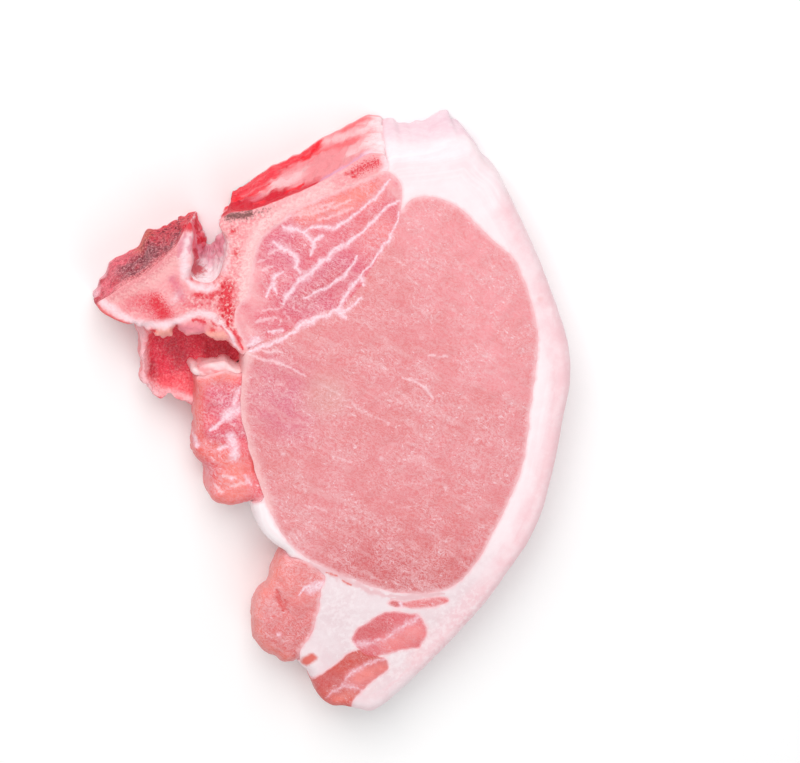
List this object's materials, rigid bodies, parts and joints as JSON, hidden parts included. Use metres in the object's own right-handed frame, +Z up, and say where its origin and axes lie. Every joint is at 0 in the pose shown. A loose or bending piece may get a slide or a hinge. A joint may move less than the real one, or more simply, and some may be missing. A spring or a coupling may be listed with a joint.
{
  "type": "raw pork steak",
  "caption": "Raw bone-in pork loin steak: round lean eye with a chine muscle, split vertebra, fat rim and belly tail, lying flat.",
  "frame": {"origin": "middle of the resting lower cut face, under the middle of the steak's box", "axes": "+Z up out of the upper cut face, +Y along the steak from the belly tail to the back fat, +X from the backbone to the fat rim"},
  "size_m": [0.1172, 0.1522, 0.0208],
  "materials": {
    "loin_eye": "moist raw lean meat, fine grain",
    "chine_muscle": "moist raw lean meat with white seams",
    "vertebra": "sawn bone with red marrow",
    "tenderloin": "moist raw lean meat",
    "fat_flap": "soft white fat",
    "flank_lobe": "moist raw lean meat",
    "belly_strip_upper": "moist raw lean meat",
    "belly_strip_lower": "moist raw lean meat",
    "belly_sliver": "thin lean layer in fat",
    "fat": "firm white back fat, faint layers"
  },
  "bodies": {
    "root": {"loin_eye": "loin_eye", "chine_muscle": "chine_muscle", "vertebra": "vertebra", "tenderloin": "tenderloin", "fat_flap": "fat_flap", "flank_lobe": "flank_lobe", "belly_strip_upper": "belly_strip_upper", "belly_strip_lower": "belly_strip_lower", "belly_sliver": "belly_sliver", "fat": "fat"}
  },
  "joints": []
}
